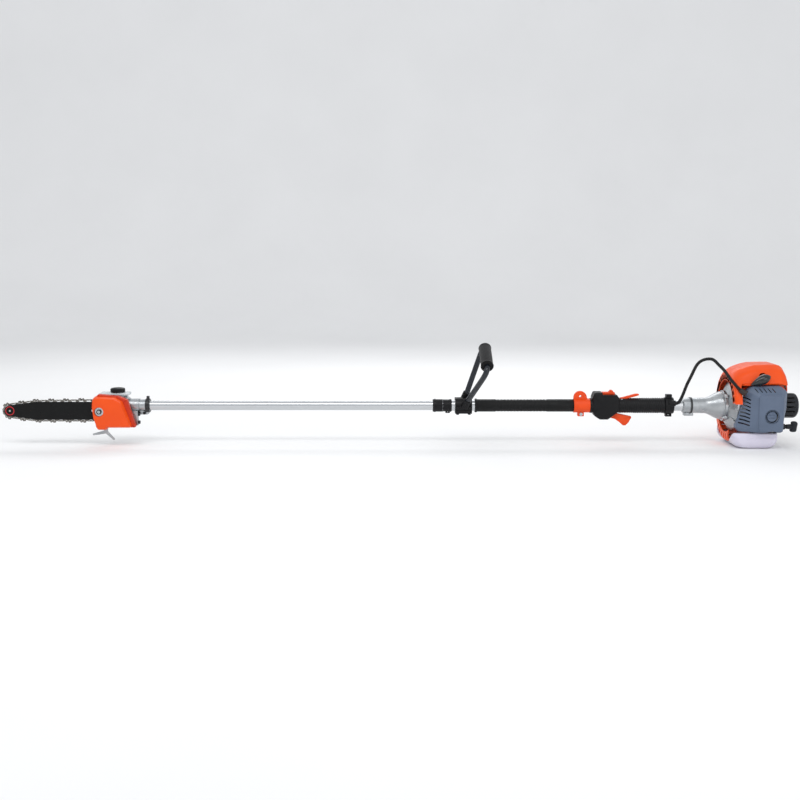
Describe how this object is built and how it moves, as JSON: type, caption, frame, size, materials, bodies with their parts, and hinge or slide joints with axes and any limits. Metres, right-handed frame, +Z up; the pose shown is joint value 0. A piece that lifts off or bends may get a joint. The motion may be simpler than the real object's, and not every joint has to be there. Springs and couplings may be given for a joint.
{
  "type": "telescoping pole saw",
  "caption": "Petrol pole saw: telescoping tube with a chainsaw head at one end and a two-stroke engine at the other, loop handle and throttle grip between.",
  "frame": {"origin": "centre of the harness eye above the pole", "axes": "+X along the pole from the saw head to the engine, +Y away from the guide bar's side through the harness eye, +Z up"},
  "size_m": [2.1705, 0.2256, 0.2833],
  "materials": {
    "guide_bar": "black stove enamel",
    "saw_chain": "oiled",
    "nose_sprocket": "oiled",
    "drive_sprocket": "oiled",
    "bevel_gear": "ground",
    "bevel_pinion": "ground",
    "gear_bearings": "bright",
    "sprocket_cover": "moulded, orange",
    "bar_fasteners": "bright",
    "gear_case": "as cast",
    "gear_case_lid": "as cast",
    "head_screws": "blackened",
    "oil_tank": "translucent",
    "oil_cap": "moulded, black",
    "limb_hook": "cast",
    "neck_clamp": "moulded, black",
    "front_pole": "anodised, drawn",
    "front_bushes": "oiled bronze or nylon",
    "front_shaft": "ground",
    "rear_pole": "anodised",
    "rear_bushes": "nylon",
    "rear_shaft": "ground",
    "collar_base": "moulded, black",
    "lock_nut": "moulded, black",
    "pole_sleeve": "ribbed",
    "loop_clamp": "moulded, black",
    "loop_bar": "powder coat",
    "loop_grip": "foam",
    "hanger": "moulded",
    "control_left": "moulded, black",
    "control_right": "moulded, black",
    "rear_screws": "bright",
    "throttle_trigger": "moulded",
    "lockout_lever": "moulded, red",
    "stop_switch": "moulded",
    "grip_clamp": "moulded, black",
    "cable_conduit": "corrugated",
    "clutch_housing": "satin",
    "clutch_drum": "machined",
    "engine_bearings": "bright",
    "clutch_shoes": "machined",
    "flywheel": "cast",
    "crankshaft": "ground",
    "crankcase": "as cast",
    "cylinder_block": "as cast",
    "piston": "as cast",
    "connecting_rod": "ground",
    "muffler": "heat-proof",
    "carburettor": "cast",
    "air_cleaner_cover": "moulded, slate grey",
    "cover_knob": "moulded, slate grey",
    "engine_cover": "moulded, orange",
    "spark_plug": "glazed ceramic and plated steel",
    "plug_cap": "moulded",
    "fuel_tank": "translucent",
    "fuel_cap": "moulded, black",
    "recoil_housing": "moulded, charcoal",
    "starter_reel": "nylon",
    "starter_grip": "moulded, charcoal",
    "starter_rope": "braided cord"
  },
  "bodies": {
    "rear": {"rear_pole": "rear_pole", "rear_bushes": "rear_bushes", "collar_base": "collar_base", "pole_sleeve": "pole_sleeve", "loop_clamp": "loop_clamp", "loop_bar": "loop_bar", "loop_grip": "loop_grip", "hanger": "hanger", "control_left": "control_left", "control_right": "control_right", "rear_screws": "rear_screws", "grip_clamp": "grip_clamp", "cable_conduit": "cable_conduit", "clutch_housing": "clutch_housing", "engine_bearings": "engine_bearings", "crankcase": "crankcase", "cylinder_block": "cylinder_block", "piston": "piston", "connecting_rod": "connecting_rod", "muffler": "muffler", "carburettor": "carburettor", "air_cleaner_cover": "air_cleaner_cover", "engine_cover": "engine_cover", "spark_plug": "spark_plug", "plug_cap": "plug_cap", "fuel_tank": "fuel_tank", "recoil_housing": "recoil_housing"},
    "front": {"front_pole": "front_pole", "front_bushes": "front_bushes", "gear_case": "gear_case", "gear_case_lid": "gear_case_lid", "gear_bearings": "gear_bearings", "head_screws": "head_screws", "bar_fasteners": "bar_fasteners", "sprocket_cover": "sprocket_cover", "oil_tank": "oil_tank", "limb_hook": "limb_hook", "neck_clamp": "neck_clamp", "guide_bar": "guide_bar", "saw_chain": "saw_chain"},
    "lock_nut": {"lock_nut": "lock_nut"},
    "rear_drive": {"rear_shaft": "rear_shaft", "clutch_drum": "clutch_drum"},
    "front_drive": {"front_shaft": "front_shaft", "bevel_pinion": "bevel_pinion"},
    "output": {"bevel_gear": "bevel_gear", "drive_sprocket": "drive_sprocket"},
    "nose": {"nose_sprocket": "nose_sprocket"},
    "crank": {"crankshaft": "crankshaft", "flywheel": "flywheel", "clutch_shoes": "clutch_shoes"},
    "trigger": {"throttle_trigger": "throttle_trigger"},
    "lockout": {"lockout_lever": "lockout_lever"},
    "stop_switch": {"stop_switch": "stop_switch"},
    "oil_cap": {"oil_cap": "oil_cap"},
    "fuel_cap": {"fuel_cap": "fuel_cap"},
    "cover_knob": {"cover_knob": "cover_knob"},
    "starter_grip": {"starter_grip": "starter_grip", "starter_rope": "starter_rope"},
    "reel": {"starter_reel": "starter_reel"}
  },
  "joints": [
    {"name": "pole_slide", "type": "slide", "parent": "rear", "child": "front", "axis": [1, 0, 0], "range_m": [0, 0.42]},
    {"name": "lock_nut_twist", "type": "hinge", "parent": "rear", "child": "lock_nut", "pos_m": [-0.405, 0, -0.026], "axis": [1, 0, 0], "range_deg": [0, 90]},
    {"name": "rear_drive_spin", "type": "hinge", "parent": "rear", "child": "rear_drive", "pos_m": [0, 0, -0.026], "axis": [1, 0, 0], "continuous": true},
    {"name": "front_drive_spin", "type": "hinge", "parent": "front", "child": "front_drive", "pos_m": [-1.262, 0, -0.026], "axis": [1, 0, 0], "continuous": true},
    {"name": "output_spin", "type": "hinge", "parent": "front", "child": "output", "pos_m": [-1.262, 0, -0.026], "axis": [0, 1, 0], "continuous": true},
    {"name": "nose_spin", "type": "hinge", "parent": "front", "child": "nose", "pos_m": [-1.557, 0, -0.036], "axis": [0, 1, 0], "continuous": true},
    {"name": "crank_spin", "type": "hinge", "parent": "rear", "child": "crank", "pos_m": [0.477, 0, -0.026], "axis": [1, 0, 0], "continuous": true},
    {"name": "trigger_pull", "type": "hinge", "parent": "rear", "child": "trigger", "pos_m": [0.088, 0, -0.051], "axis": [0, -1, 0], "range_deg": [0, 12], "stiffness_Nm_per_rad": 0.4, "springref_deg": -11.46},
    {"name": "lockout_press", "type": "hinge", "parent": "rear", "child": "lockout", "pos_m": [0.113, 0, -0.0075], "axis": [0, 1, 0], "range_deg": [0, 8], "stiffness_Nm_per_rad": 0.2, "springref_deg": -11.46},
    {"name": "stop_switch_slide", "type": "slide", "parent": "rear", "child": "stop_switch", "axis": [1, 0, 0], "range_m": [0, 0.006]},
    {"name": "oil_cap_turn", "type": "hinge", "parent": "front", "child": "oil_cap", "pos_m": [-1.27, 0, 0.014], "axis": [0, 0, 1], "range_deg": [0, 360]},
    {"name": "fuel_cap_turn", "type": "hinge", "parent": "rear", "child": "fuel_cap", "pos_m": [0.485, 0.058, -0.086], "axis": [0, 0, 1], "range_deg": [0, 360]},
    {"name": "cover_knob_turn", "type": "hinge", "parent": "rear", "child": "cover_knob", "pos_m": [0.495, -0.1, -0.042], "axis": [0, -1, 0], "range_deg": [0, 360]},
    {"name": "starter_pull", "type": "slide", "parent": "rear", "child": "starter_grip", "axis": [1, 0, 0], "range_m": [0, 0.6], "stiffness_N_per_m": 8, "springref_m": -0.35, "deforming": ["starter_rope"]},
    {"name": "reel_spin", "type": "hinge", "parent": "rear", "child": "reel", "pos_m": [0.507, 0, -0.026], "axis": [1, 0, 0], "range_deg": [-5, 1025]}
  ],
  "couplings": [
    {"joint": "front_drive_spin", "follows": "rear_drive_spin", "ratio": 1},
    {"joint": "output_spin", "follows": "rear_drive_spin", "ratio": -0.77778},
    {"joint": "nose_spin", "follows": "rear_drive_spin", "ratio": -0.60494},
    {"joint": "reel_spin", "follows": "starter_pull", "rad_per_m": 29.412}
  ]
}
